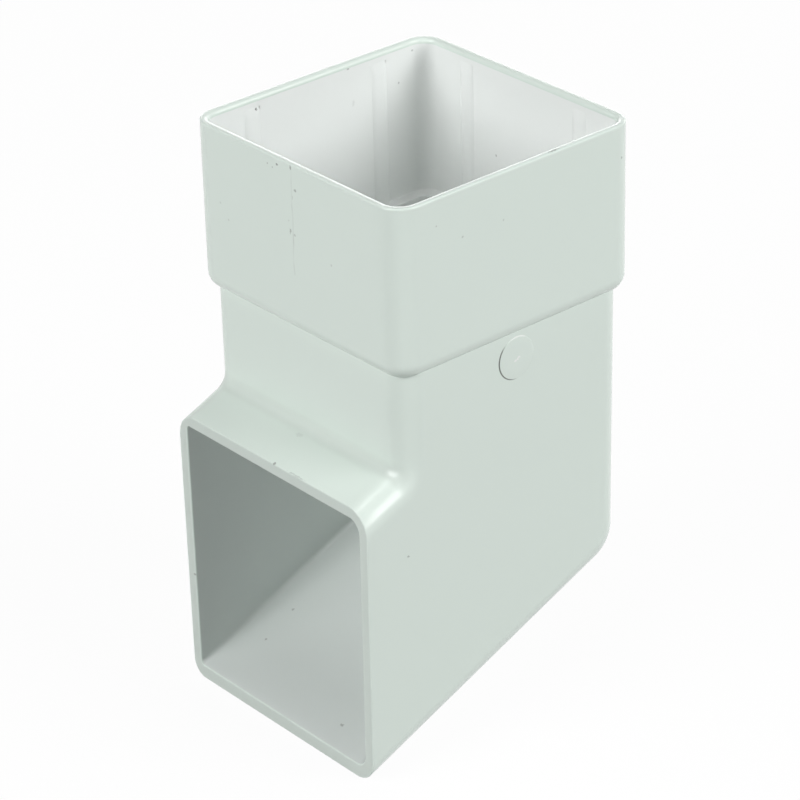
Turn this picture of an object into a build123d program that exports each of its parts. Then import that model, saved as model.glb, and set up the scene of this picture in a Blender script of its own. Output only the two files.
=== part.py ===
from build123d import *
from math import cos, radians, tan
import os

# Shoe for a square rainwater downpipe, moulded in one piece. The pipe's end stands in the socket at the
# top, the water drops down the tube, and the sloped chute throws it forward through the mouth.
# Millimetres. The origin is on the pipe's axis, on the ledge that the pipe's end stands on.
# +Z runs up the pipe, -Y out of the mouth, and +Y is the side of the wall of the house.

# The pipe that the socket takes
pipe_side = 65.0
pipe_gap = 1.0

# Socket
socket_wall = 2.0
socket_depth = 39.0
socket_corner = 6.0
shoulder_drop = 2.9
shoulder_round = 4.0
rim_round_outside = 0.5
rim_round_inside = 1.0
ledge_width = 2.85

# Low ribs that centre the pipe, two on each wall of the socket
rib_width = 4.6
rib_height = 0.4
rib_offset = 19.0
rib_below_rim = 2.5
rib_lead_in = 2.5

# Tube below the socket
tube_wall = 2.9
tube_corner = 6.0
crease_round = 3.0
heel_round = 10.0

# Chute and mouth
chute_angle = 22.5
chute_height = 66.9
floor_wall = 3.4
roof_drop = 27.25
mouth_throw = 11.3
lip_round_outside = 0.3
lip_round_inside = 0.4

# Low round pad that the mould leaves on the right side, just under the socket
pad_radius = 5.4
pad_height = 0.15
pad_drop = 8.7

# What follows from those sizes
socket_bore = pipe_side + 2 * pipe_gap
socket_side = socket_bore + 2 * socket_wall
tube_bore = socket_bore - 2 * ledge_width
tube_side = tube_bore + 2 * tube_wall
mouth_y = -tube_side / 2 - mouth_throw
slope = radians(chute_angle)

# How far cutting forms run past the faces that they open, and how near counts as touching
overrun = 10.0
touching = 0.01


def roof_z(y, inset):
    """Height of the chute's roof at y, at a depth of inset into the wall."""
    return -roof_drop + (y + tube_side / 2) * tan(slope) - inset / cos(slope)


def floor_z(y, inset):
    """Height of the chute's floor at y, at a depth of inset into the wall."""
    return roof_z(y, 0) - (chute_height - inset) / cos(slope)


def runs_along(edge, top, end):
    """Says whether an edge runs along the passage, and doesn't close it at its top or its end."""
    middle = edge.center()
    return middle.Z < top - touching and middle.Y > end + touching


def passage(inset, floor_inset, run_past):
    """Tube and chute as one filled form, drawn in from their outside by inset, and by floor_inset below.

    The form ends run_past above the ledge and run_past beyond the mouth.
    """
    half = tube_side / 2 - inset
    end = mouth_y - run_past
    crease = (-half, roof_z(-half, inset))
    heel = (half, floor_z(half, floor_inset))
    corners = [
        (-half, run_past),
        crease,
        (end, roof_z(end, inset)),
        (end, floor_z(end, floor_inset)),
        heel,
        (half, run_past),
    ]
    outline = make_face(Plane.YZ * Polyline(*corners, close=True))
    for corner, radius in ((crease, crease_round + inset), (heel, heel_round - inset)):
        nearest = outline.vertices().sort_by_distance((0, *corner))[0]
        outline = fillet(nearest, radius)
    form = extrude(outline, amount=half, both=True)
    sides = form.faces().sort_by(Axis.X)
    edges = sides[0].edges() + sides[-1].edges()
    long_edges = [edge for edge in edges if runs_along(edge, run_past, end)]
    return fillet(long_edges, tube_corner - inset)


def socket_block():
    """Outside of the socket, filled, with its lower edge rounded back towards the tube."""
    base = Plane.XY.offset(-shoulder_drop)
    plan = RectangleRounded(socket_side, socket_side, socket_corner)
    block = extrude(base * plan, amount=socket_depth + shoulder_drop)
    lower_edges = block.faces().sort_by(Axis.Z)[0].edges()
    return fillet(lower_edges, shoulder_round)


def socket_hollow():
    """The room that the pipe's end goes into, from the ledge up through the rim."""
    plan = RectangleRounded(socket_bore, socket_bore, socket_corner - socket_wall)
    return extrude(plan, amount=socket_depth)


def rib():
    """One rib, on the wall at +X, with a slope on top that leads the pipe in."""
    wall_x = socket_bore / 2
    root_x = wall_x + socket_wall / 2
    crown_x = wall_x - rib_height
    top = socket_depth - rib_below_rim
    side_view = [
        (root_x, 0),
        (crown_x, 0),
        (crown_x, top - rib_lead_in),
        (wall_x, top),
        (root_x, top),
    ]
    face = make_face(Plane.XZ * Polyline(*side_view, close=True))
    return extrude(face, amount=rib_width / 2, both=True)


def ribs():
    """All the ribs: a pair on each of the four walls, the same distance either side of its middle."""
    pair = [Pos(Y=side * rib_offset) * rib() for side in (-1, 1)]
    return [Rot(Z=turn) * each for turn in (0, 90, 180, 270) for each in pair]


def mould_pad():
    """The low round pad, rooted in the right side of the tube."""
    root = tube_wall / 2
    plane = Plane(origin=(tube_side / 2 - root, 0, -pad_drop), z_dir=(1, 0, 0))
    return extrude(plane * Circle(pad_radius), amount=root + pad_height)


def end_face(shape, axis, furthest):
    """The flat face that closes the shape at one end of axis: the furthest along it, or the least far."""
    faces = shape.faces().filter_by(axis).sort_by(axis)
    return faces[-1] if furthest else faces[0]


def downpipe_shoe():
    """The whole moulding."""
    shoe = passage(0, 0, 0) + socket_block()
    shoe = shoe - passage(tube_wall, floor_wall, overrun)
    shoe = shoe - socket_hollow()
    rim = end_face(shoe, Axis.Z, True)
    shoe = fillet(rim.inner_wires()[0].edges(), rim_round_inside)
    rim = end_face(shoe, Axis.Z, True)
    shoe = fillet(rim.outer_wire().edges(), rim_round_outside)
    lip = end_face(shoe, Axis.Y, False)
    shoe = fillet(lip.outer_wire().edges(), lip_round_outside)
    lip = end_face(shoe, Axis.Y, False)
    shoe = fillet(lip.inner_wires()[0].edges(), lip_round_inside)
    for added in [*ribs(), mould_pad()]:
        shoe = shoe + added
    return shoe


os.makedirs("parts", exist_ok=True)
export_step(downpipe_shoe(), "parts/downpipe_shoe.step")
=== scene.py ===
"""The downpipe shoe, dressed for its picture.

The CAD solid fixes the shoe's place and size. This script makes the moulding again as one fine closed shell
with true roundings, adds the ribs and the marks that its mould left, gives them their plastic, and sets up
the floor, the lamps and the camera.

Metres, in the frame of the CAD model: the origin is on the pipe's axis, on the ledge that the pipe's end
stands on. +Z runs up the pipe, -Y out of the mouth, and +Y is the side of the wall of the house.
"""

import logging
import math
from abc import ABC, abstractmethod
from dataclasses import dataclass, field
from enum import Enum
from typing import Any, ClassVar

import bmesh
import bpy
import numpy as np
from mathutils import Matrix, Vector


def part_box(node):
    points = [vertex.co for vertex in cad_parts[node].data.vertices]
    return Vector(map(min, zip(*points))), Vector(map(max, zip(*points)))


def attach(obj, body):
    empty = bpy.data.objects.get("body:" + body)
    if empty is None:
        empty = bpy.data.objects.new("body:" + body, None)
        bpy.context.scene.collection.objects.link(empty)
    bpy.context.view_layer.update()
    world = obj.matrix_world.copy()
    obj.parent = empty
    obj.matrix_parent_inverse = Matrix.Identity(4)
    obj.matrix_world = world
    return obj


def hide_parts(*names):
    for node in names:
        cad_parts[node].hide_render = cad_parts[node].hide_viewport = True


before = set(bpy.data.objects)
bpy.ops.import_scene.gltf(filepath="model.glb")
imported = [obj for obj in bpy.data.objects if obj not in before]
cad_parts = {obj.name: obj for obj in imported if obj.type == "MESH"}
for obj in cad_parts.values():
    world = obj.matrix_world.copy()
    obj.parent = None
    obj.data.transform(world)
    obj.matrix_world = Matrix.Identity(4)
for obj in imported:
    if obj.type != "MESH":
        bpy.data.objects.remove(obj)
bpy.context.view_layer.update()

LOG = logging.getLogger("downpipe shoe")
SHOE_NODE = "downpipe_shoe"
BODY = "root"
MM = 0.001
QUARTER_TURN = math.pi / 2
FULL_TURN = 2 * math.pi
SHARP_ANGLE = math.radians(35)
MERGE_DISTANCE = 0.001 * MM
WHITE = (1.0, 1.0, 1.0, 1.0)

# A point, a direction or a colour
Triple = tuple[float, float, float]


# Sizes


@dataclass(frozen=True)
class ShoeSizes:
    """Driving sizes of the moulding, and the draft that its mould needs."""

    socket_half: float
    rim_height: float
    mouth_y: float
    lowest: float
    socket_wall: float = 2.0 * MM
    socket_corner: float = 6.0 * MM
    shoulder_drop: float = 2.9 * MM
    shoulder_round: float = 4.0 * MM
    rim_round_outside: float = 0.5 * MM
    rim_round_inside: float = 1.0 * MM
    ledge_width: float = 2.85 * MM
    tube_wall: float = 2.9 * MM
    floor_wall: float = 3.4 * MM
    tube_corner: float = 6.0 * MM
    crease_round: float = 3.0 * MM
    heel_round: float = 10.0 * MM
    roof_drop: float = 27.25 * MM
    chute_height: float = 66.65 * MM
    chute_angle: float = math.radians(22.5)
    lip_round_outside: float = 0.3 * MM
    lip_round_inside: float = 0.4 * MM
    ledge_round: float = 0.3 * MM
    top_flare: float = 0.3 * MM
    bottom_draw: float = 0.4 * MM
    floor_left_corner: float = 4.0 * MM
    roof_left_bore_corner: float = 1.0 * MM
    mark_radius: float = 5.2 * MM
    mark_drop: float = 8.7 * MM

    @classmethod
    def from_frame(cls) -> "ShoeSizes":
        """Reads the outer sizes from the CAD model's box."""
        low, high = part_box(SHOE_NODE)
        return cls(socket_half=high[0], rim_height=high[2], mouth_y=low[1], lowest=low[2])

    @property
    def bore_half(self) -> float:
        """Half the width of the room inside the socket."""
        return self.socket_half - self.socket_wall

    @property
    def tube_half(self) -> float:
        """Half the outer width of the tube and the chute."""
        return self.bore_half - self.ledge_width + self.tube_wall

    def draft(self, height: float | np.ndarray) -> float | np.ndarray:
        """How far the mould's draft moves each side out, or in below zero, at a height."""
        share = height / self.lowest
        return self.top_flare * (1 - share) - self.bottom_draw * share

    def on(self, wall: "Wall", first: float, second: float) -> Triple:
        """Finds a point on one of the moulding's walls.

        Args:
            wall: The wall.
            first: Its first distance, in millimetres, as the wall says.
            second: Its second distance, in millimetres.

        Returns:
            The point, in metres.
        """
        first, second = first * MM, second * MM
        roof = -self.roof_drop + (second + self.tube_half) * math.tan(self.chute_angle)
        floor = roof - (self.chute_height - self.floor_wall) / math.cos(self.chute_angle)
        points = {
            Wall.BORE_LEFT: (-self.bore_half, first, second),
            Wall.BORE_BACK: (first, self.bore_half, second),
            Wall.SOCKET_RIGHT: (self.socket_half, first, second),
            Wall.SOCKET_FRONT: (first, -self.socket_half, second),
            Wall.RIM: (first, second, self.rim_height),
            Wall.TUBE_RIGHT: (self.tube_half + self.draft(second), first, second),
            Wall.ROOF: (first, second, roof),
            Wall.FLOOR: (first, second, floor),
            Wall.MOUTH_END: (first, self.mouth_y, second),
        }
        return points[wall]


class Wall(Enum):
    """Walls of the moulding that carry marks, and the two distances that place a mark on each."""

    BORE_LEFT = "left wall inside the socket: along y, and height"
    BORE_BACK = "back wall inside the socket: along x, and height"
    SOCKET_RIGHT = "right side of the socket: along y, and height"
    SOCKET_FRONT = "front of the socket: along x, and height"
    RIM = "top of the rim: along x, and along y"
    TUBE_RIGHT = "right side of the tube: along y, and height"
    ROOF = "roof of the chute: along x, and along y"
    FLOOR = "inside of the chute's floor: along x, and along y"
    MOUTH_END = "end face of the mouth: along x, and height"


# Small helpers for meshes and nodes


def place_object(name: str, data: bpy.types.ID) -> bpy.types.Object:
    """Makes an object and links it to the scene.

    Args:
        name: The object's name.
        data: Its mesh, lamp or camera.

    Returns:
        The new object.
    """
    made = bpy.data.objects.new(name, data)
    bpy.context.scene.collection.objects.link(made)
    return made


def mesh_object(name: str, vertices: np.ndarray, faces: list[tuple[int, ...]],
                slots: list[int] | None = None) -> bpy.types.Object:
    """Makes a smooth closed mesh object whose faces point outwards.

    Args:
        name: The object's name.
        vertices: Points, one row each.
        faces: Point numbers of each face.
        slots: Number of the material of each face, where there is more than one.

    Returns:
        The new object, linked to the scene.
    """
    mesh = bpy.data.meshes.new(name)
    mesh.from_pydata(vertices.tolist(), [], faces)
    if slots:
        mesh.polygons.foreach_set("material_index", slots)
    shape = bmesh.new()
    shape.from_mesh(mesh)
    bmesh.ops.remove_doubles(shape, verts=shape.verts, dist=MERGE_DISTANCE)
    bmesh.ops.recalc_face_normals(shape, faces=shape.faces)
    shape.to_mesh(mesh)
    shape.free()
    mesh.shade_smooth()
    mesh.set_sharp_from_angle(angle=SHARP_ANGLE)
    return place_object(name, mesh)


def faces_between(row: int, following: int, around: int) -> list[tuple[int, ...]]:
    """Joins two closed rows of points with four-sided faces.

    Args:
        row: Number of the first row.
        following: Number of the second row.
        around: How many points each row has.

    Returns:
        The point numbers of each face.
    """
    first, second = row * around, following * around
    steps = [(here, (here + 1) % around) for here in range(around)]
    return [(first + here, first + there, second + there, second + here) for here, there in steps]


def seat(piece: bpy.types.Object) -> None:
    """Fixes a piece to the shoe's body."""
    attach(piece, BODY)


def outward(azimuth: float, elevation: float) -> Vector:
    """Direction away from the shoe, at an azimuth from its front towards +X and at an elevation."""
    level = math.cos(elevation)
    return Vector((math.sin(azimuth) * level, -math.cos(azimuth) * level, math.sin(elevation)))


class Board:
    """Adds nodes to one tree and joins them."""

    NODES_IN_A_ROW = 8
    NODE_STEP = (220, -260)

    def __init__(self, tree: bpy.types.NodeTree) -> None:
        """Keeps the tree that the nodes go into."""
        self.tree = tree

    def fill(self, node: bpy.types.Node, inputs: dict[Any, Any]) -> None:
        """Gives a node its inputs.

        Args:
            node: The node.
            inputs: A value or another node's output for each named or numbered input.
        """
        for name, value in inputs.items():
            if isinstance(value, bpy.types.NodeSocket):
                self.tree.links.new(value, node.inputs[name])
            else:
                node.inputs[name].default_value = value

    def add(self, kind: str, inputs: dict[Any, Any] | None = None, **settings: Any) -> bpy.types.Node:
        """Adds a node.

        Args:
            kind: Blender's name for the kind of node.
            inputs: A value or another node's output for each named or numbered input.
            settings: Properties of the node.

        Returns:
            The new node.
        """
        node = self.tree.nodes.new(kind)
        for name, value in settings.items():
            setattr(node, name, value)
        self.fill(node, inputs or {})
        return node

    def maths(self, operation: str, *values: Any) -> bpy.types.NodeSocket:
        """Adds a Math node and gives its output."""
        return self.add("ShaderNodeMath", dict(enumerate(values)), operation=operation).outputs[0]

    def product(self, first: Any, *others: Any) -> bpy.types.NodeSocket:
        """Multiplies values.

        Args:
            first: The first value or output.
            others: The values or outputs that it is multiplied by.

        Returns:
            The output of the last node.
        """
        for other in others:
            first = self.maths("MULTIPLY", first, other)
        return first

    def vector_maths(self, operation: str, *values: Any) -> bpy.types.NodeSocket:
        """Adds a Vector Math node and gives its output, which is a number for a length or a dot product."""
        node = self.add("ShaderNodeVectorMath", dict(enumerate(values)), operation=operation)
        return node.outputs["Value" if operation in ("LENGTH", "DOT_PRODUCT") else "Vector"]

    def vector(self, **parts: Any) -> bpy.types.NodeSocket:
        """Makes a vector of its parts X, Y and Z, 0 where a part isn't named, and gives its output."""
        return self.add("ShaderNodeCombineXYZ", parts).outputs[0]

    def smooth_step(self, value: Any, start: Any, end: Any, low: float = 0.0, high: float = 1.0) -> Any:
        """Adds a smooth change from low to high as the value goes from start to end, and gives its output."""
        inputs = {"Value": value, "From Min": start, "From Max": end, "To Min": low, "To Max": high}
        return self.add("ShaderNodeMapRange", inputs, interpolation_type="SMOOTHSTEP").outputs["Result"]

    def noise(self, place: Any, scale: Any, detail: float, roughness: float = 0.5) -> bpy.types.NodeSocket:
        """Adds a noise over a place, from 0 to 1 about a middle of a half, and gives its output."""
        inputs = {"Vector": place, "Scale": scale, "Detail": detail, "Roughness": roughness}
        return self.add("ShaderNodeTexNoise", inputs).outputs["Fac"]

    def mix(self, share: Any, under: Any, over: Any) -> bpy.types.NodeSocket:
        """Mixes a share of one colour over another and gives the output."""
        inputs = {"Factor": share, "A": under, "B": over}
        return self.add("ShaderNodeMix", inputs, data_type="RGBA").outputs["Result"]

    def spread(self) -> None:
        """Lays the nodes out in rows, so that the tree can be read in the editor."""
        for number, node in enumerate(self.tree.nodes):
            down, right = divmod(number, self.NODES_IN_A_ROW)
            node.location = (self.NODE_STEP[0] * right, self.NODE_STEP[1] * down)


class Socket(Enum):
    """Kinds of socket on a node group."""

    NUMBER = "NodeSocketFloat"
    VECTOR = "NodeSocketVector"
    GEOMETRY = "NodeSocketGeometry"
    MATERIAL = "NodeSocketMaterial"


def new_group(name: str, kind: str, inputs: dict[str, Socket],
              outputs: dict[str, Socket]) -> bpy.types.NodeTree:
    """Makes an empty node group with named sockets.

    Args:
        name: The group's name.
        kind: Blender's name for the kind of tree.
        inputs: Name and kind of each input.
        outputs: Name and kind of each output.

    Returns:
        The new group.
    """
    tree = bpy.data.node_groups.new(name, kind)
    for direction, sockets in (("INPUT", inputs), ("OUTPUT", outputs)):
        for label, socket in sockets.items():
            tree.interface.new_socket(name=label, in_out=direction, socket_type=socket.value)
    return tree


# Effects that the plastics share


class Effect(Enum):
    """Shader groups of the plastics: name, vector inputs, number inputs and output of each."""

    DRIFT = ("tone drift", ("Place",), ("Patches",), "Tone")
    GRAIN = ("moulded grain", ("Place",), ("Grain scale", "Wave scale", "Wave share"), "Height")
    FLECK = ("one fleck", ("Place", "Centre", "Stretch"), ("Radius",), "Mask")
    WELD = ("weld line", ("Place",), ("Across", "Bottom", "Top", "Width"), "Mask")
    POLISH = ("uneven polish", ("Place",), ("Smooth", "Rough", "Patches"), "Roughness")
    # Painted shade and painted highlight: thin arcs on the step of the mould's mark
    ARC = ("arc of a round step", ("Place", "Centre", "Towards"), ("Radius", "Width", "Fade", "Full"), "Mask")
    # Painted shade: darkening along the crease between the tube's front and the roof
    CREASE = ("shade along a crease", ("Place", "Crease"), ("Reach",), "Mask")


class EffectLibrary:
    """Builds each shared effect once, as a shader node group.

    Each of the seven methods named after an effect lays out its nodes. It is given the board of the group and
    the outputs of its input node, and it gives the output that leaves the group. Scales count across a metre.
    """

    def __init__(self) -> None:
        """Starts with no group built."""
        self.groups: dict[Effect, bpy.types.NodeTree] = {}
        self.makers = {Effect.DRIFT: self.drift, Effect.GRAIN: self.grain, Effect.FLECK: self.fleck,
                       Effect.WELD: self.weld, Effect.POLISH: self.polish, Effect.ARC: self.arc,
                       Effect.CREASE: self.crease}

    def place(self, board: Board, effect: Effect, inputs: dict[str, Any]) -> bpy.types.NodeSocket:
        """Places an effect in a material with its own values.

        Args:
            board: The material's board.
            effect: The effect to place.
            inputs: A value or an output for each named input of the effect.

        Returns:
            The effect's output.
        """
        if effect not in self.groups:
            self.groups[effect] = self.build_group(effect)
        return board.add("ShaderNodeGroup", inputs, node_tree=self.groups[effect]).outputs[0]

    def build_group(self, effect: Effect) -> bpy.types.NodeTree:
        """Builds the group of one effect.

        Args:
            effect: The effect.

        Returns:
            The group.
        """
        name, vectors, numbers, output = effect.value
        inputs = {**dict.fromkeys(vectors, Socket.VECTOR), **dict.fromkeys(numbers, Socket.NUMBER)}
        tree = new_group(name, "ShaderNodeTree", inputs, {output: Socket.NUMBER})
        board = Board(tree)
        result = self.makers[effect](board, board.add("NodeGroupInput").outputs)
        board.add("NodeGroupOutput", {output: result})
        board.spread()
        return tree

    @staticmethod
    def drift(board: Board, ins: Any) -> bpy.types.NodeSocket:
        """Makes the slow change of tone over a moulding."""
        return board.noise(ins["Place"], ins["Patches"], detail=2.0, roughness=0.45)

    @staticmethod
    def grain(board: Board, ins: Any) -> bpy.types.NodeSocket:
        """Makes the height of the fine grain and the slow waves of a moulded face.

        Args:
            board: The group's board.
            ins: The outputs of its input node.

        Returns:
            The height.
        """
        grain = board.noise(ins["Place"], ins["Grain scale"], detail=3.0)
        wave = board.noise(ins["Place"], ins["Wave scale"], detail=1.0)
        return board.maths("ADD", grain, board.maths("MULTIPLY", wave, ins["Wave share"]))

    @staticmethod
    def fleck(board: Board, ins: Any) -> bpy.types.NodeSocket:
        """Makes one small fleck with a ragged edge, at a place on the object.

        Args:
            board: The group's board.
            ins: The outputs of its input node.

        Returns:
            The mask, 1 in the fleck.
        """
        ragged = board.noise(ins["Place"], scale=1900.0, detail=2.0)
        away = board.vector_maths("SUBTRACT", ins["Place"], ins["Centre"])
        length = board.vector_maths("LENGTH", board.vector_maths("DIVIDE", away, ins["Stretch"]))
        wobble = board.smooth_step(ragged, start=0.3, end=0.7, low=0.6, high=1.3)
        ratio = board.maths("DIVIDE", length, board.maths("MULTIPLY", ins["Radius"], wobble))
        return board.smooth_step(ratio, start=0.55, end=1.15, low=1.0, high=0.0)

    @staticmethod
    def weld(board: Board, ins: Any) -> bpy.types.NodeSocket:
        """Makes the broken upright line where the melt met itself in the mould.

        Args:
            board: The group's board.
            ins: The outputs of its input node.

        Returns:
            The mask, 1 on the line.
        """
        full_sway = 1.6 * MM
        place = board.add("ShaderNodeSeparateXYZ", {0: ins["Place"]}).outputs
        only_height = board.vector(Z=place["Z"])
        sway = board.noise(only_height, scale=90.0, detail=1.0)
        breaks = board.noise(only_height, scale=170.0, detail=2.0)
        swayed = board.maths("MULTIPLY_ADD", sway, full_sway, -full_sway / 2)
        middle = board.maths("ADD", ins["Across"], swayed)
        off = board.maths("ABSOLUTE", board.maths("SUBTRACT", place["X"], middle))
        ratio = board.maths("DIVIDE", off, ins["Width"])
        line = board.smooth_step(ratio, start=0.2, end=1.0, low=1.0, high=0.0)
        broken = board.smooth_step(breaks, start=0.38, end=0.68, low=0.12)
        above = board.maths("GREATER_THAN", place["Z"], ins["Bottom"])
        below = board.maths("LESS_THAN", place["Z"], ins["Top"])
        in_front = board.maths("LESS_THAN", place["Y"], 0.0)
        return board.product(line, broken, above, below, in_front)

    @staticmethod
    def polish(board: Board, ins: Any) -> bpy.types.NodeSocket:
        """Makes the uneven gloss of a moulded and handled face.

        Args:
            board: The group's board.
            ins: The outputs of its input node.

        Returns:
            The roughness.
        """
        clouds = board.noise(ins["Place"], ins["Patches"], detail=1.0, roughness=0.4)
        share = board.smooth_step(clouds, start=0.2, end=0.8)
        span = board.maths("SUBTRACT", ins["Rough"], ins["Smooth"])
        return board.maths("MULTIPLY_ADD", share, span, ins["Smooth"])

    @staticmethod
    def arc(board: Board, ins: Any) -> bpy.types.NodeSocket:
        """Makes a thin arc, part of a circle round a place on the object.

        Args:
            board: The group's board.
            ins: The outputs of its input node.

        Returns:
            The mask, 1 on the arc.
        """
        away = board.vector_maths("SUBTRACT", ins["Place"], ins["Centre"])
        length = board.vector_maths("LENGTH", away)
        off = board.maths("ABSOLUTE", board.maths("SUBTRACT", length, ins["Radius"]))
        ratio = board.maths("DIVIDE", off, ins["Width"])
        line = board.smooth_step(ratio, start=0.3, end=1.0, low=1.0, high=0.0)
        towards = board.vector_maths("DOT_PRODUCT", away, ins["Towards"])
        aligned = board.smooth_step(board.maths("DIVIDE", towards, length), ins["Fade"], ins["Full"])
        return board.maths("MULTIPLY", line, aligned)

    @staticmethod
    def crease(board: Board, ins: Any) -> bpy.types.NodeSocket:
        """Makes a soft painted shade along a crease that runs across the moulding, darker nearer the crease.

        Args:
            board: The group's board.
            ins: The outputs of its input node.

        Returns:
            The mask, 1 in the crease.
        """
        away = board.vector_maths("SUBTRACT", ins["Place"], ins["Crease"])
        across_crease = board.vector_maths("MULTIPLY", away, (0.0, 1.0, 1.0))
        ratio = board.maths("DIVIDE", board.vector_maths("LENGTH", across_crease), ins["Reach"])
        return board.smooth_step(ratio, start=0.25, end=1.0, low=1.0, high=0.0)


# Marks in the plastic, and painted shade and highlights


class Mark(ABC):
    """A mark that one of the effects lays over the plastic's colour."""

    effect: ClassVar[Effect]
    strength: float
    pale: bool = False
    depth: float = 0.0

    @abstractmethod
    def inputs(self, sizes: ShoeSizes) -> dict[str, Any]:
        """Gives the values for the effect's inputs."""


@dataclass(frozen=True)
class Fleck(Mark):
    """A speck or a small scuff, placed by two distances and a radius, in millimetres."""

    wall: Wall
    first: float
    second: float
    radius: float
    strength: float
    stretch: Triple = (1.0, 1.0, 1.0)
    pale: bool = False
    effect: ClassVar[Effect] = Effect.FLECK

    def inputs(self, sizes: ShoeSizes) -> dict[str, Any]:
        """Gives the values for the effect's inputs."""
        centre = sizes.on(self.wall, self.first, self.second)
        return {"Centre": centre, "Radius": self.radius * MM, "Stretch": self.stretch}


@dataclass(frozen=True)
class PaintedLightArc(Mark):
    """A thin arc on the step of the mould's round mark, at an angle from +Y towards +Z: painted shade when
    dark, a painted highlight when pale.
    """

    outside_edge: float
    angle: float
    half_spread: float
    strength: float
    width: float = 0.22 * MM
    fade: float = math.radians(14)
    pale: bool = False
    effect: ClassVar[Effect] = Effect.ARC

    def inputs(self, sizes: ShoeSizes) -> dict[str, Any]:
        """Gives the values for the effect's inputs.

        Args:
            sizes: Sizes of the moulding, which place the mark.

        Returns:
            A value for each named input.
        """
        return {"Centre": sizes.on(Wall.TUBE_RIGHT, 0.0, -sizes.mark_drop / MM),
                "Radius": sizes.mark_radius + self.outside_edge, "Width": self.width,
                "Towards": (0.0, math.cos(self.angle), math.sin(self.angle)),
                "Fade": math.cos(self.half_spread + self.fade),
                "Full": math.cos(self.half_spread - self.fade)}


@dataclass(frozen=True)
class Crease(Mark):
    """Painted shade: a faint darkening along the crease between the tube's front and the roof."""

    reach: float = 3.2 * MM
    strength: float = 0.10
    effect: ClassVar[Effect] = Effect.CREASE

    def inputs(self, sizes: ShoeSizes) -> dict[str, Any]:
        """Gives the values for the effect's inputs."""
        return {"Crease": (0.0, -sizes.tube_half, -sizes.roof_drop), "Reach": self.reach}


@dataclass(frozen=True)
class WeldLine(Mark):
    """The faint weld line down the middle of the socket's front wall."""

    across: float = 0.3 * MM
    bottom: float = 12.0 * MM
    top: float = 38.0 * MM
    width: float = 0.34 * MM
    depth: float = 0.02 * MM
    strength: float = 0.16
    effect: ClassVar[Effect] = Effect.WELD

    def inputs(self, sizes: ShoeSizes) -> dict[str, Any]:
        """Gives the values for the effect's inputs."""
        return {"Across": self.across, "Bottom": self.bottom, "Top": self.top, "Width": self.width}


UPRIGHT = (1.0, 1.0, 2.4)
OUTSIDE_FLECKS = (
    Fleck(Wall.SOCKET_FRONT, 0.3, 38.0, 0.30, 0.50, UPRIGHT),
    Fleck(Wall.SOCKET_FRONT, 1.6, 33.0, 0.42, 0.42),
    Fleck(Wall.SOCKET_FRONT, 0.5, 31.0, 0.22, 0.18, UPRIGHT),
    Fleck(Wall.SOCKET_FRONT, -1.0, 25.0, 0.30, 0.16),
    Fleck(Wall.SOCKET_FRONT, -0.6, 22.5, 0.34, 0.38, UPRIGHT),
    Fleck(Wall.SOCKET_FRONT, 0.8, 22.0, 0.36, 0.25),
    Fleck(Wall.SOCKET_FRONT, -4.4, 37.4, 0.34, 0.60),
    Fleck(Wall.SOCKET_FRONT, -7.7, 36.6, 0.26, 0.35),
    Fleck(Wall.SOCKET_FRONT, -6.0, 36.2, 0.22, 0.30),
    Fleck(Wall.SOCKET_FRONT, -25.4, 21.0, 0.40, 0.14),
    Fleck(Wall.SOCKET_FRONT, -22.7, 17.6, 0.30, 0.18),
    Fleck(Wall.SOCKET_FRONT, 13.1, 19.0, 0.32, 0.18),
    Fleck(Wall.SOCKET_RIGHT, -24.5, 32.5, 0.30, 0.25),
    Fleck(Wall.SOCKET_RIGHT, -17.0, 27.5, 0.32, 0.25),
    Fleck(Wall.SOCKET_RIGHT, -5.0, 27.5, 0.28, 0.22),
    Fleck(Wall.SOCKET_RIGHT, 31.0, 31.0, 0.40, 0.40),
    Fleck(Wall.RIM, 34.8, 10.5, 0.50, 0.55, (0.7, 3.8, 1.0)),
    Fleck(Wall.TUBE_RIGHT, -33.0, -47.0, 0.40, 0.40),
    Fleck(Wall.ROOF, 0.0, -36.0, 0.60, 0.10, (1.8, 1.8, 0.6)),
    Fleck(Wall.ROOF, 1.5, -44.6, 0.40, 0.55),
    Fleck(Wall.ROOF, 9.0, -44.6, 0.50, 0.24, (6.0, 0.5, 1.0)),
    Fleck(Wall.MOUTH_END, -30.9, -75.4, 0.40, 0.45),
)
SOCKET_FLECKS = (
    Fleck(Wall.BORE_LEFT, -18.0, 36.0, 0.45, 0.80),
    Fleck(Wall.BORE_LEFT, -12.5, 20.5, 0.36, 0.40),
    Fleck(Wall.BORE_LEFT, 9.7, 37.7, 0.36, 0.45),
    Fleck(Wall.BORE_LEFT, 10.6, 38.2, 0.30, 0.45),
    Fleck(Wall.BORE_LEFT, 11.0, 28.5, 0.60, 0.12, (1.0, 0.8, 1.6)),
    Fleck(Wall.BORE_LEFT, 25.0, 29.5, 0.32, 0.35),
    Fleck(Wall.BORE_LEFT, 29.5, 36.5, 0.32, 0.40),
    Fleck(Wall.BORE_BACK, -9.0, 16.0, 0.36, 0.40),
)
CHUTE_FLECKS = (
    Fleck(Wall.FLOOR, -22.5, -22.3, 0.40, 0.35),
    Fleck(Wall.FLOOR, -21.5, -31.8, 0.36, 0.35),
    Fleck(Wall.FLOOR, 15.6, -39.4, 0.55, 0.40),
)

# The pale tick near the middle of the mould's mark, and the painted shade and painted highlight on the step
# round it
TICK = tuple(Fleck(Wall.TUBE_RIGHT, along, height, 0.42, 0.8, (1.0, 1.2, 0.8), pale=True)
             for along, height in ((-0.4, -9.4), (0.15, -9.1), (0.7, -8.75)))
PAINTED_STEP_SHADE_AND_HIGHLIGHT = (PaintedLightArc(0.06 * MM, math.radians(200), math.radians(62), 0.75),
             PaintedLightArc(0.0, math.radians(85), math.radians(20), 0.7, pale=True))


# The plastic


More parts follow.
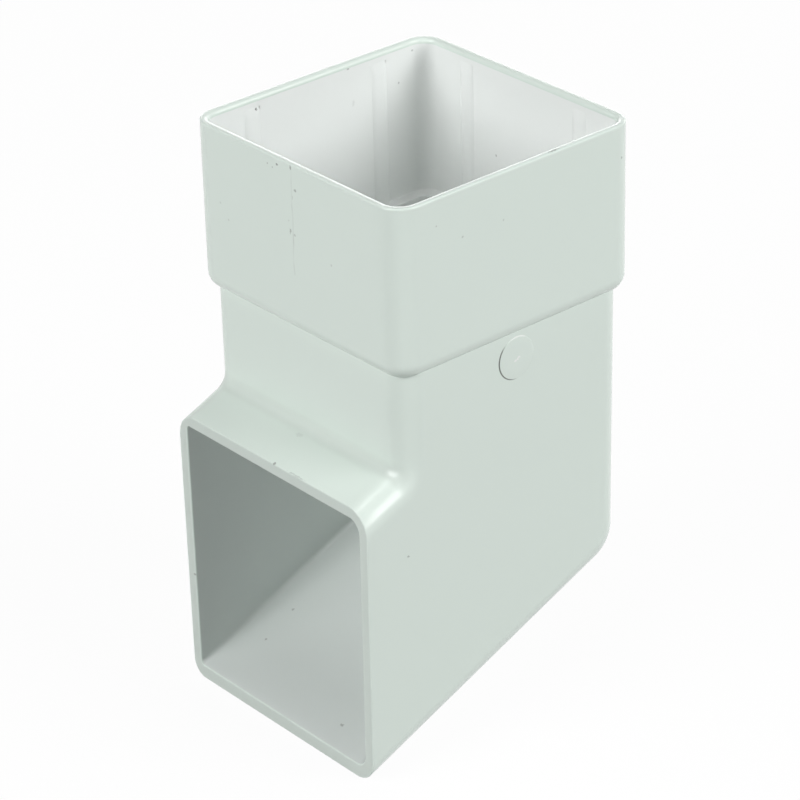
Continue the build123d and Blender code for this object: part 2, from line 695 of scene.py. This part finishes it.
class Finish(Enum):
    """Which plastic a face wears."""

    OUTSIDE = "outside"
    # Painted light: the inside of the socket, and the ribs, wear a lighter copy of the plastic
    SOCKET_BORE_PAINTED_LIGHT = "inside of the socket"
    CHUTE_BORE = "inside of the chute"
    # Painted shade: the rim's top and the mouth's end face wear a darker copy of the plastic
    END_FACE_PAINTED_SHADE = "rim's top and mouth's end face"


@dataclass(frozen=True)
class Plastic:
    """The moulding's plastic: pale grey with a cool green cast, and a soft gloss."""

    name: str
    light_tone: Triple
    dark_tone: Triple
    marks: tuple[Mark, ...]
    smooth: float = 0.22
    rough: float = 0.27
    # Dark tone for dark marks and painted shade, pale tone for pale marks and a painted highlight
    dark_mark_and_shade_tone: Triple = (0.10, 0.10, 0.09)
    pale_mark_and_highlight_tone: Triple = (0.95, 0.96, 0.95)
    drift_patches: float = 38.0
    polish_patches: float = 90.0
    grain_depth: float = 0.0012 * MM
    grain_scale: float = 2600.0
    wave_scale: float = 60.0
    wave_share: float = 3.0
    refraction: float = 1.53

    def build(self, effects: EffectLibrary, sizes: ShoeSizes) -> bpy.types.Material:
        """Makes the material.

        Args:
            effects: The library of shared effects.
            sizes: Sizes of the moulding, which place the marks.

        Returns:
            The finished material.
        """
        material = bpy.data.materials.new(self.name)
        material.use_nodes = True
        board = Board(material.node_tree)
        place = board.add("ShaderNodeTexCoord").outputs["Object"]
        drift = effects.place(board, Effect.DRIFT, {"Place": place, "Patches": self.drift_patches})
        colour = board.mix(drift, (*self.dark_tone, 1.0), (*self.light_tone, 1.0))
        height = effects.place(board, Effect.GRAIN, {"Place": place, "Grain scale": self.grain_scale,
                                                     "Wave scale": self.wave_scale,
                                                     "Wave share": self.wave_share})
        for mark in self.marks:
            mask = effects.place(board, mark.effect, {"Place": place, **mark.inputs(sizes)})
            # Dark marks include painted shade, and pale marks include a painted highlight
            tone = self.pale_mark_and_highlight_tone if mark.pale else self.dark_mark_and_shade_tone
            colour = board.mix(board.maths("MULTIPLY", mask, mark.strength), colour, (*tone, 1.0))
            if mark.depth:
                height = board.maths("MULTIPLY_ADD", mask, -mark.depth / self.grain_depth, height)
        roughness = effects.place(board, Effect.POLISH, {"Place": place, "Smooth": self.smooth,
                                                         "Rough": self.rough, "Patches": self.polish_patches})
        bump = board.add("ShaderNodeBump", {"Height": height, "Distance": self.grain_depth, "Strength": 1.0})
        board.fill(material.node_tree.nodes["Principled BSDF"],
                   {"Base Color": colour, "Roughness": roughness, "IOR": self.refraction,
                    "Normal": bump.outputs["Normal"]})
        board.spread()
        return material


# The shell


class BentLine:
    """One long line of the side outline: straight down the tube, round an arc, and straight down the chute.

    Its points are found by a travel from 0 to 3: one for the first straight, one for the arc and one for the
    second straight.
    """

    def __init__(self, start: np.ndarray, corner: np.ndarray, radius: float, chute_angle: float,
                 end_y: float, outwards: float) -> None:
        """Works out the arc.

        Args:
            start: Where the line starts on the tube, as y and z.
            corner: Where its two straights would cross.
            radius: Radius of the arc, below zero where the arc's centre is outside the moulding.
            chute_angle: Angle between the chute and the level.
            end_y: The y at which the line ends, on the chute.
            outwards: 1 on the back wall and -1 on the front wall.
        """
        self.turn = QUARTER_TURN - chute_angle
        self.first_angle = 0.0 if outwards > 0 else math.pi
        self.radius = radius
        first, last = self.normal(0.0), self.normal(self.turn)
        self.centre = corner - radius * (first + last) / (1 + first @ last)
        self.start = start
        self.arc_start = self.centre + radius * first
        self.arc_end = self.centre + radius * last
        run = np.array([-math.cos(chute_angle), -math.sin(chute_angle)])
        self.end = self.arc_end + run * (end_y - self.arc_end[0]) / run[0]

    def normal(self, turned: float) -> np.ndarray:
        """Outward direction, as y and z, once the line has turned by an angle."""
        angle = self.first_angle - turned
        return np.array([math.cos(angle), math.sin(angle)])

    def at(self, travel: float, depth: float) -> tuple[np.ndarray, np.ndarray]:
        """Finds a point of the line, or one under it.

        Args:
            travel: How far along the line, from 0 to 3.
            depth: How far under the line, inside the moulding.

        Returns:
            The point and its outward direction, each as y and z.
        """
        direction = self.normal(self.turn * min(max(travel - 1, 0.0), 1.0))
        if travel <= 1:
            point = self.start + (self.arc_start - self.start) * travel
        elif travel < 2:
            point = self.centre + self.radius * direction
        else:
            point = self.arc_end + (self.end - self.arc_end) * (travel - 2)
        return point - depth * direction, direction


@dataclass
class Ring:
    """One closed row of the shell: its points and the outward direction at each."""

    points: np.ndarray
    normals: np.ndarray

    def inset(self, depth: float) -> np.ndarray:
        """Gives the row's points at a depth under the surface."""
        return self.points - depth * self.normals


@dataclass
class ShoeShell:
    """The hollow moulding, as one closed skin.

    Its rows run up the outside from the mouth to the rim, over the rim, and down the inside to the mouth
    again. The inside follows the outside at the thickness of the wall.
    """

    sizes: ShoeSizes
    corner_steps: int = 16
    straight_steps: int = 10
    straight_rows: int = 8
    arc_rows: int = 10
    heel_rows: int = 14
    socket_steps: int = 7
    outer_steps: int = 5
    inner_steps: int = 4
    support: float = 0.25 * MM
    run_in: float = 3.0 * MM
    tube_top: float = -5.0 * MM
    front: BentLine = field(init=False)
    back: BentLine = field(init=False)

    def __post_init__(self) -> None:
        """Lays out the front and back lines of the side outline."""
        size = self.sizes
        half, end = size.tube_half, size.mouth_y + self.run_in
        roof = -size.roof_drop
        floor = roof + 2 * half * math.tan(size.chute_angle) - size.chute_height / math.cos(size.chute_angle)
        front_start, back_start = np.array([-half, self.tube_top]), np.array([half, self.tube_top])
        self.front = BentLine(front_start, np.array([-half, roof]), -size.crease_round, size.chute_angle,
                              end, -1)
        self.back = BentLine(back_start, np.array([half, floor]), size.heel_round, size.chute_angle, end, 1)

    def wall_shares(self, length: float) -> np.ndarray:
        """Shares of a straight wall, close together near its ends so that the roundings shade cleanly."""
        near = self.support / length
        return np.concatenate([[0.0, near], np.linspace(0, 1, self.straight_steps + 1)[1:-1], [1 - near]])

    def ring(self, fore: float, aft: float, inside: bool) -> Ring:
        """Makes one row round the tube or the chute.

        Args:
            fore: The row's travel along the front line.
            aft: Its travel along the back line.
            inside: Whether the row is on the inside, at the depth of the wall.

        Returns:
            The row.
        """
        size = self.sizes
        depth = size.tube_wall if inside else 0.0
        down_chute = min(max(aft - 1, 0.0), 1.0)
        extra = (size.floor_wall - size.tube_wall) * down_chute if inside else 0.0
        half, plain = size.tube_half - depth, size.tube_corner - depth
        floor_left = plain + down_chute * (size.floor_left_corner - size.tube_corner)
        roof_left = plain + down_chute * (size.roof_left_bore_corner - plain) if inside else plain
        front, back = self.front.at(fore, depth), self.back.at(aft, depth + extra)
        angles = np.linspace(0, QUARTER_TURN, self.corner_steps + 1)[:-1]
        points, normals = [], []

        def wall(line: tuple[np.ndarray, np.ndarray], begin: float, end: float) -> None:
            """Adds the flat across one line.

            Args:
                line: A point of the front or the back line and its outward direction.
                begin: Where the flat starts across.
                end: Where it ends across.
            """
            for share in self.wall_shares(abs(end - begin)):
                points.append([begin + (end - begin) * share, *line[0]])
                normals.append([0.0, *line[1]])

        def bend(line: tuple[np.ndarray, np.ndarray], side: float, corner: float, towards_side: bool) -> None:
            """Adds the rounding between a line's wall and a side.

            Args:
                line: A point of the front or the back line and its outward direction.
                side: 1 on the right and -1 on the left.
                corner: Radius of the rounding.
                towards_side: Whether the row runs from the line's wall to the side.
            """
            centre = np.array([side * (half - corner), *(line[0] - corner * line[1])])
            for angle in angles if towards_side else QUARTER_TURN - angles:
                direction = np.array([side * math.sin(angle), *(math.cos(angle) * line[1])])
                points.append(centre + corner * direction)
                normals.append(direction)

        def flank(first: np.ndarray, last: np.ndarray, side: float) -> None:
            """Adds the flat of a side.

            Args:
                first: Where the rounding before it ends, as y and z.
                last: Where the next rounding starts.
                side: 1 on the right and -1 on the left.
            """
            for share in self.wall_shares(float(np.linalg.norm(last - first))):
                points.append([side * half, *(first + (last - first) * share)])
                normals.append([side, 0.0, 0.0])

        wall(front, roof_left - half, half - plain)
        bend(front, 1, plain, True)
        flank(front[0] - plain * front[1], back[0] - plain * back[1], 1)
        bend(back, 1, plain, False)
        wall(back, half - plain, floor_left - half)
        bend(back, -1, floor_left, True)
        flank(back[0] - floor_left * back[1], front[0] - roof_left * front[1], -1)
        bend(front, -1, roof_left, False)
        row = np.array(points, float)
        drafted = size.draft(row[:, 2])
        if inside:
            drafted = np.minimum(drafted, 0.0)
        row[:, 0] += np.clip(row[:, 0] / (half - plain), -1, 1) * drafted
        return Ring(row, np.array(normals, float))

    def travels(self) -> list[tuple[float, float]]:
        """Pairs of travels along the front and the back line.

        Returns:
            One pair for each row from the tube to the chute.
        """
        tube_top, before_arc, after_arc = (0.0, 0.0), (1.0, 0.75), (2.0, 1.0)
        after_heel, mouth = (2.4, 2.0), (3.0, 3.0)
        stages = [(tube_top, before_arc, self.straight_rows), (before_arc, after_arc, self.arc_rows),
                  (after_arc, after_heel, self.heel_rows), (after_heel, mouth, self.straight_rows)]
        pairs = [tuple(np.add(np.multiply(start, 1 - share), np.multiply(end, share)))
                 for start, end, steps in stages for share in np.linspace(0, 1, steps, endpoint=False)]
        near_crease, near_heel = (0.985, 0.74), (2.42, 2.008)
        return sorted([*pairs, near_crease, near_heel, mouth])

    def socket_line(self, tube: Ring) -> Ring:
        """Finds the point of the socket's outside next to each point of the tube's outside.

        Args:
            tube: A row of the tube's outside.

        Returns:
            The row on the socket's outside, at the height of the ledge.
        """
        flat = self.sizes.socket_half - self.sizes.socket_corner
        plan = tube.points[:, :2]
        core = np.clip(plan, -flat, flat)
        outwards = (plan - core) / np.linalg.norm(plan - core, axis=1, keepdims=True)
        level = np.zeros((len(plan), 1))
        points = np.hstack([core + self.sizes.socket_corner * outwards, level])
        return Ring(points, np.hstack([outwards, level]))

    def lip(self, ring: Ring, inwards: float, radius: float, steps: int) -> list[np.ndarray]:
        """Rounds the shell into the mouth's end face.

        Args:
            ring: The last row before the mouth.
            inwards: 1 on the outside and -1 on the inside.
            radius: Radius of the rounding.
            steps: Number of facets across the rounding.

        Returns:
            Rows from the skin to the end face.
        """
        angle = self.sizes.chute_angle
        run = np.array([0.0, -math.cos(angle), -math.sin(angle)])
        out_of_skin = inwards * ring.normals
        out_of_mouth = np.array([0.0, -1.0, 0.0])
        start = ring.points - radius * out_of_skin
        reach = ((-self.sizes.mouth_y - radius) - start @ out_of_mouth) / (run @ out_of_mouth)
        centres = start + reach[:, None] * run
        opening = np.arccos(np.clip(out_of_skin @ out_of_mouth, -1, 1))[:, None]
        rows = []
        for share in np.linspace(0, 1, steps + 1):
            blend = np.sin((1 - share) * opening) * out_of_skin + np.sin(share * opening) * out_of_mouth
            rows.append(centres + radius * blend / np.sin(opening))
        return rows

    def socket_rows(self, tube: Ring, bore: Ring) -> list[tuple[Finish, list[np.ndarray]]]:
        """Makes the rows from the shoulder up the outside of the socket, over the rim and down to the bore.

        Args:
            tube: The first row of the tube's outside.
            bore: The first row of the tube's inside.

        Returns:
            The rows with their finish: outside, the rim's top, its inner rounding, and inside.
        """
        size = self.sizes
        line = self.socket_line(tube)
        step_in = np.linalg.norm((line.points - tube.points)[:, :2], axis=1)
        full_turn = np.arccos(1 - step_in / size.shoulder_round)
        outside = []
        for share in np.linspace(1, 0, self.arc_rows + 1):
            turned = full_turn * share
            row = line.points - (size.shoulder_round * (1 - np.cos(turned)))[:, None] * line.normals
            row[:, 2] = -size.shoulder_drop + size.shoulder_round * (1 - np.sin(turned))
            outside.append(row)

        def level(depth: float, height: float) -> np.ndarray:
            """Makes a level row of the socket.

            Args:
                depth: How far the row is under the socket's outside.
                height: Its height.

            Returns:
                The row's points.
            """
            row = line.inset(depth)
            row[:, 2] = height
            return row

        def corner(radius: float, angle: float) -> tuple[float, float]:
            """How far a rounding is short of its corner, across and in height, at an angle from level."""
            return radius * (1 - math.cos(angle)), radius * (1 - math.sin(angle))

        top, wall, foot = size.rim_height, size.socket_wall, size.ledge_round
        outer, inner = size.rim_round_outside, size.rim_round_inside
        shoulder_top = size.shoulder_round - size.shoulder_drop
        upwards = np.linspace(shoulder_top, top - outer, self.socket_steps + 1)[1:-1]
        heights = (shoulder_top + self.support, *upwards, top - outer - self.support)
        outside += [level(0, height) for height in heights]
        for angle in np.linspace(0, QUARTER_TURN, self.outer_steps + 1):
            across, down = corner(outer, angle)
            outside.append(level(across, top - down))
        rim_top = [outside.pop()]
        inner_rounding = []
        for angle in np.linspace(QUARTER_TURN, 0, self.socket_steps + 1):
            across, down = corner(inner, angle)
            inner_rounding.append(level(wall - across, top - down))
        downwards = np.linspace(top - inner, foot, self.socket_steps + 1)[1:-1]
        heights = (top - inner - self.support, *downwards, foot + self.support)
        inside = [level(wall, height) for height in heights]
        for angle in np.linspace(0, QUARTER_TURN, self.inner_steps + 1):
            across, up = corner(foot, angle)
            inside.append(level(wall + across, up))
        for angle in np.linspace(QUARTER_TURN, 0, self.inner_steps + 1):
            across, down = corner(foot, angle)
            row = bore.inset(-across)
            row[:, 2] = -down
            inside.append(row)
        return [(Finish.OUTSIDE, outside), (Finish.END_FACE_PAINTED_SHADE, rim_top), (Finish.OUTSIDE, inner_rounding),
                (Finish.SOCKET_BORE_PAINTED_LIGHT, inside)]

    def strips(self) -> list[tuple[Finish, list[np.ndarray]]]:
        """Makes all the rows of the skin.

        Returns:
            The rows with their finish, in order, so that the last row joins the first.
        """
        size = self.sizes
        outside = [self.ring(fore, aft, False) for fore, aft in self.travels()]
        inside = [self.ring(fore, aft, True) for fore, aft in self.travels()]
        outer_lip = self.lip(outside[-1], 1, size.lip_round_outside, self.outer_steps)
        inner_lip = self.lip(inside[-1], -1, size.lip_round_inside, self.inner_steps)
        outer_rows, inner_rows = [ring.points for ring in outside], [ring.points for ring in inside]
        return [(Finish.OUTSIDE, outer_lip[::-1] + outer_rows[::-1]),
                *self.socket_rows(outside[0], inside[0]), (Finish.CHUTE_BORE, inner_rows),
                (Finish.OUTSIDE, inner_lip[:-1]), (Finish.END_FACE_PAINTED_SHADE, inner_lip[-1:])]

    def build(self, materials: dict[Finish, bpy.types.Material]) -> bpy.types.Object:
        """Makes the shell's object.

        Args:
            materials: The material of each finish.

        Returns:
            The shell, which stands for the CAD solid.
        """
        order = list(materials)
        rows = [(order.index(finish), row) for finish, strip in self.strips() for row in strip]
        around = len(rows[0][1])
        faces, slots = [], []
        for number, (slot, _) in enumerate(rows):
            faces += faces_between(number, (number + 1) % len(rows), around)
            slots += [slot] * around
        shell = mesh_object("shoe_shell", np.vstack([row for _, row in rows]), faces, slots)
        for material in materials.values():
            shell.data.materials.append(material)
        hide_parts(SHOE_NODE)
        seat(shell)
        return shell


# The ribs


@dataclass
class PipeRibs:
    """Low ribs on the socket's walls that centre the pipe, two on each wall."""

    sizes: ShoeSizes
    width: float = 4.6 * MM
    height: float = 0.4 * MM
    offset: float = 19.0 * MM
    below_rim: float = 2.5 * MM
    lead_in: float = 2.5 * MM
    root: float = 0.3 * MM
    walls: int = 4
    steps_across: int = 12
    steps_up: int = 40
    crown_power: float = 3.0
    ramp_softness: float = 0.3

    def build_tree(self) -> bpy.types.NodeTree:
        """Makes the tree that shapes one rib and repeats it round the socket.

        Returns:
            The tree.
        """
        names = ("Width", "Height", "Root", "Foot", "Top", "Lead in", "Offset", "Wall distance")
        inputs = {"Geometry": Socket.GEOMETRY, **{name: Socket.NUMBER for name in names},
                  "Material": Socket.MATERIAL}
        tree = new_group("ribs round a socket", "GeometryNodeTree", inputs, {"Geometry": Socket.GEOMETRY})
        board = Board(tree)
        ins = board.add("NodeGroupInput").outputs
        block = board.add("GeometryNodeMeshCube", {"Size": (1, 1, 1), "Vertices X": 2,
                                                   "Vertices Y": self.steps_across + 1,
                                                   "Vertices Z": self.steps_up + 1})
        position = board.add("GeometryNodeInputPosition").outputs[0]
        place = board.add("ShaderNodeSeparateXYZ", {0: position}).outputs
        length = board.maths("SUBTRACT", ins["Top"], ins["Foot"])
        up = board.maths("MULTIPLY_ADD", board.maths("ADD", place["Z"], 0.5), length, ins["Foot"])
        off_middle = board.maths("ABSOLUTE", board.maths("MULTIPLY", place["Y"], 2.0))
        crown = board.maths("SUBTRACT", 1.0, board.maths("POWER", off_middle, self.crown_power))
        from_top = board.maths("DIVIDE", board.maths("SUBTRACT", ins["Top"], up), ins["Lead in"])
        ramp = board.maths("SMOOTH_MIN", from_top, 1.0, self.ramp_softness)
        proud = board.product(crown, ramp, ins["Height"])
        facing = board.maths("LESS_THAN", place["X"], 0.0)
        inwards = board.maths("MULTIPLY", facing, board.maths("ADD", proud, ins["Root"]))
        across = board.maths("SUBTRACT", board.maths("ADD", ins["Wall distance"], ins["Root"]), inwards)
        along = board.maths("MULTIPLY", place["Y"], ins["Width"])
        rib = board.add("GeometryNodeSetPosition", {"Geometry": block.outputs["Mesh"],
                                                    "Position": board.vector(X=across, Y=along, Z=up)})
        join = board.add("GeometryNodeJoinGeometry")
        for side in (-1.0, 1.0):
            move = board.vector(Y=board.maths("MULTIPLY", ins["Offset"], side))
            moved = board.add("GeometryNodeTransform", {"Geometry": rib.outputs["Geometry"],
                                                        "Translation": move})
            tree.links.new(moved.outputs["Geometry"], join.inputs["Geometry"])
        wall_points = board.add("GeometryNodePoints", {"Count": self.walls})
        turn = board.maths("MULTIPLY", board.add("GeometryNodeInputIndex").outputs[0], FULL_TURN / self.walls)
        repeated = board.add("GeometryNodeInstanceOnPoints", {"Points": wall_points.outputs[0],
                                                              "Instance": join.outputs["Geometry"],
                                                              "Rotation": board.vector(Z=turn)})
        real = board.add("GeometryNodeRealizeInstances", {"Geometry": repeated.outputs["Instances"]})
        smooth = board.add("GeometryNodeSetShadeSmooth", {"Geometry": real.outputs["Geometry"]})
        dressed = board.add("GeometryNodeSetMaterial", {"Geometry": smooth.outputs["Geometry"],
                                                        "Material": ins["Material"]})
        board.add("NodeGroupOutput", {"Geometry": dressed.outputs["Geometry"]})
        board.spread()
        return tree

    def build(self, material: bpy.types.Material) -> bpy.types.Object:
        """Makes the ribs as one plain mesh.

        Args:
            material: The plastic.

        Returns:
            The ribs.
        """
        size = self.sizes
        values = {"Width": self.width, "Height": self.height, "Root": self.root, "Foot": 0.0,
                  "Top": size.rim_height - self.below_rim, "Lead in": self.lead_in, "Offset": self.offset,
                  "Wall distance": size.bore_half, "Material": material}
        ribs = grow("pipe_ribs", self.build_tree(), values)
        seat(ribs)
        return ribs


def grow(name: str, tree: bpy.types.NodeTree, values: dict[str, Any]) -> bpy.types.Object:
    """Runs a geometry tree and keeps what it makes as a plain mesh.

    Args:
        name: The object's name.
        tree: The tree.
        values: A value for each named input.

    Returns:
        The object with the finished mesh.
    """
    source = place_object(name + ".source", bpy.data.meshes.new(name + ".source"))
    modifier = source.modifiers.new("grow", "NODES")
    modifier.node_group = tree
    for item in tree.interface.items_tree:
        if item.in_out == "INPUT" and item.name in values:
            modifier[item.identifier] = values[item.name]
    evaluated = source.evaluated_get(bpy.context.evaluated_depsgraph_get())
    mesh = bpy.data.meshes.new_from_object(evaluated)
    mesh.name = name
    mesh.set_sharp_from_angle(angle=SHARP_ANGLE)
    bpy.data.objects.remove(source)
    return place_object(name, mesh)


# The round mark of the mould


@dataclass
class MouldMark:
    """The low round pad that the mould left on the right side, just under the socket."""

    sizes: ShoeSizes
    proud: float = 0.15 * MM
    edge_round: float = 0.1 * MM
    edge_steps: int = 4
    flat_share: float = 0.6
    root: float = 0.4 * MM
    segments: int = 96

    def build(self, material: bpy.types.Material) -> bpy.types.Object:
        """Makes the pad.

        Args:
            material: The plastic.

        Returns:
            The pad.
        """
        radius, drop, edge = self.sizes.mark_radius, self.sizes.mark_drop, self.edge_round
        face = self.sizes.tube_half + self.sizes.draft(-drop)
        profile = [(radius, -self.root)]
        for angle in np.linspace(0, QUARTER_TURN, self.edge_steps + 1):
            profile.append((radius - edge * (1 - math.cos(angle)), self.proud - edge * (1 - math.sin(angle))))
        profile.append((radius * self.flat_share, self.proud))
        turns = np.linspace(0, FULL_TURN, self.segments, endpoint=False)
        rings = []
        for reach, out in profile:
            along, height = reach * np.cos(turns), -drop + reach * np.sin(turns)
            rings.append(np.stack([np.full_like(turns, face + out), along, height], axis=1))
        last = len(rings) - 1
        faces = [corners for row in range(last) for corners in faces_between(row, row + 1, self.segments)]
        faces += [tuple(range(row * self.segments, (row + 1) * self.segments)) for row in (0, last)]
        pad = mesh_object("mould_mark", np.vstack(rings), faces)
        pad.data.materials.append(material)
        seat(pad)
        return pad


# The studio


@dataclass(frozen=True)
class Softbox:
    """A flat square lamp that faces the shoe, placed by two angles in degrees."""

    name: str
    azimuth: float
    elevation: float
    power: float
    side: float = 1.2
    distance: float = 2.2

    def light(self, target: Vector) -> bpy.types.Object:
        """Hangs the lamp.

        Args:
            target: The point that it faces.

        Returns:
            The lamp.
        """
        data = bpy.data.lights.new(self.name, "AREA")
        data.shape = "SQUARE"
        data.size = self.side
        data.energy = self.power
        lamp = place_object(self.name, data)
        away = outward(math.radians(self.azimuth), math.radians(self.elevation))
        lamp.location = target + away * self.distance
        lamp.rotation_euler = away.to_track_quat("Z", "Y").to_euler()
        return lamp


SOFTBOXES = (
    Softbox("right softbox", 112.5, 29.0, 36.5),
    Softbox("front softbox", 1.5, 27.0, 24.5),
    Softbox("front left softbox", -20.0, 27.0, 10.0),
    Softbox("back right softbox", 190.0, 10.0, 11.0),
    Softbox("back left softbox", -130.0, 8.0, 16.0),
    Softbox("top softbox", 0.0, 84.0, 3.0, side=0.5),
)


@dataclass
class Studio:
    """The white floor, the soft lamps and the room."""

    floor_height: float
    softboxes: tuple[Softbox, ...]
    centre: Triple = (0.0, 0.0, -30.0 * MM)
    floor_side: float = 4.0
    room_strength: float = 0.02
    floor_tone: Triple = (0.40, 0.40, 0.40)
    seen_floor_tone: Triple = (1.0, 1.0, 1.0)
    shadow_share: float = 0.05

    def build_floor(self) -> bpy.types.Object:
        """Lays the floor, which the camera sees as white with a faint shadow.

        Returns:
            The floor.
        """
        half, height = self.floor_side / 2, self.floor_height
        corners = [(-half, -half, height), (half, -half, height), (half, half, height), (-half, half, height)]
        mesh = bpy.data.meshes.new("floor")
        mesh.from_pydata(corners, [], [(0, 1, 2, 3)])
        mesh.materials.append(self.floor_material())
        floor = place_object("floor", mesh)
        return floor

    def floor_material(self) -> bpy.types.Material:
        """Makes the floor's matt white, which shows as background to the camera and in reflections.

        Returns:
            The material.
        """
        material = bpy.data.materials.new("white floor")
        material.use_nodes = True
        board = Board(material.node_tree)
        material.node_tree.nodes.clear()
        by_camera = board.add("ShaderNodeLightPath").outputs["Is Camera Ray"]
        tone = board.mix(by_camera, (*self.floor_tone, 1.0), (*self.seen_floor_tone, 1.0))
        matt = board.add("ShaderNodeBsdfDiffuse", {"Color": tone})
        glow = board.add("ShaderNodeEmission", {"Color": WHITE, "Strength": 1.0})
        share = board.maths("MULTIPLY", self.seen_as_background(board), 1.0 - self.shadow_share)
        mixed = board.add("ShaderNodeMixShader", {0: share, 1: matt.outputs[0], 2: glow.outputs[0]})
        board.add("ShaderNodeOutputMaterial", {"Surface": mixed.outputs[0]})
        board.spread()
        return material

    @staticmethod
    def seen_as_background(board: Board) -> bpy.types.NodeSocket:
        """Tells the camera's rays, and reflected and transmitted ones, from the others.

        Args:
            board: The board of the material or the world.

        Returns:
            An output that is 1 for those rays.
        """
        path = board.add("ShaderNodeLightPath").outputs
        either = board.maths("MAXIMUM", path["Is Camera Ray"], path["Is Glossy Ray"])
        return board.maths("MAXIMUM", either, path["Is Transmission Ray"])

    def build_room(self) -> None:
        """Makes the world: white to look at, and a plain soft light on the shoe."""
        world = bpy.data.worlds.new("white room")
        bpy.context.scene.world = world
        world.use_nodes = True
        board = Board(world.node_tree)
        world.node_tree.nodes.clear()
        soft = board.add("ShaderNodeBackground", {"Color": WHITE, "Strength": self.room_strength})
        plain = board.add("ShaderNodeBackground", {"Color": WHITE, "Strength": 1.0})
        mixed = board.add("ShaderNodeMixShader", {0: self.seen_as_background(board), 1: soft.outputs[0],
                                                  2: plain.outputs[0]})
        board.add("ShaderNodeOutputWorld", {"Surface": mixed.outputs[0]})
        board.spread()

    def build(self) -> None:
        """Sets up the floor, the room and the lamps."""
        self.build_floor()
        self.build_room()
        for softbox in self.softboxes:
            softbox.light(Vector(self.centre))
        bpy.context.scene.view_settings.view_transform = "Standard"


@dataclass(frozen=True)
class ViewCamera:
    """The camera, placed as in the photograph."""

    aim: Triple = (-2.1 * MM, -3.9 * MM, -32.2 * MM)
    azimuth: float = math.radians(49.58)
    elevation: float = math.radians(28.52)
    roll: float = math.radians(-1.52)
    distance: float = 801.0 * MM
    lens: float = 154.7
    sensor: float = 36.0
    sight: float = 100.0

    def build(self) -> bpy.types.Object:
        """Makes the camera and gives it to the scene.

        Returns:
            The camera.
        """
        back = outward(self.azimuth, self.elevation)
        level = Vector((math.cos(self.azimuth), math.sin(self.azimuth), 0.0))
        right = math.cos(self.roll) * level + math.sin(self.roll) * back.cross(level)
        data = bpy.data.cameras.new("view")
        data.lens = self.lens
        data.sensor_width = self.sensor
        data.clip_end = self.sight
        camera = place_object("view", data)
        camera.matrix_world = Matrix((right, back.cross(right), back)).transposed().to_4x4()
        camera.location = Vector(self.aim) + back * self.distance
        bpy.context.scene.camera = camera
        return camera


# The whole scene


def plastics(sizes: ShoeSizes) -> tuple[dict[Finish, bpy.types.Material], bpy.types.Material]:
    """Makes every material of the moulding.

    Args:
        sizes: Sizes of the moulding, which place the marks.

    Returns:
        The material of each finish of the shell, and the material of the mould's mark.
    """
    effects = EffectLibrary()
    light, dark = (0.76, 0.85, 0.79), (0.745, 0.835, 0.775)
    # The crease and the step arcs among these marks are painted shade and a painted highlight
    outside_marks_and_painted_light = (Crease(), *OUTSIDE_FLECKS, *PAINTED_STEP_SHADE_AND_HIGHLIGHT, WeldLine())
    finishes = {
        Finish.OUTSIDE: Plastic("pale grey plastic", light, dark, outside_marks_and_painted_light),
        # Painted light: lighter tones inside the socket than outside
        Finish.SOCKET_BORE_PAINTED_LIGHT: Plastic("pale grey plastic, inside the socket", (0.90, 0.925, 0.91),
                                    (0.885, 0.91, 0.895), SOCKET_FLECKS),
        Finish.CHUTE_BORE: Plastic("pale grey plastic, inside the chute", (0.74, 0.79, 0.765),
                                   (0.725, 0.775, 0.75), CHUTE_FLECKS),
        # Painted shade: darker tones on the rim's top and the mouth's end face than on the rest of the
        # outside
        Finish.END_FACE_PAINTED_SHADE: Plastic("pale grey plastic, end faces", (0.66, 0.735, 0.685), (0.64, 0.715, 0.665),
                                 OUTSIDE_FLECKS, smooth=0.36, rough=0.44),
    }
    shell = {finish: plastic.build(effects, sizes) for finish, plastic in finishes.items()}
    mark = Plastic("pale grey plastic, mould mark", light, dark, (*TICK, *PAINTED_STEP_SHADE_AND_HIGHLIGHT))
    return shell, mark.build(effects, sizes)


def main() -> None:
    """Builds the classes in order and reports each piece."""
    logging.basicConfig(level=logging.INFO, format="%(name)s: %(message)s")
    sizes = ShoeSizes.from_frame()
    shell_plastics, mark_plastic = plastics(sizes)
    for piece in (ShoeShell(sizes).build(shell_plastics),
                  PipeRibs(sizes).build(shell_plastics[Finish.SOCKET_BORE_PAINTED_LIGHT]),
                  MouldMark(sizes).build(mark_plastic)):
        LOG.info("%s: %d points, %d faces", piece.name, len(piece.data.vertices), len(piece.data.polygons))
    Studio(sizes.lowest, SOFTBOXES).build()
    ViewCamera().build()


if __name__ == "__main__":
    main()
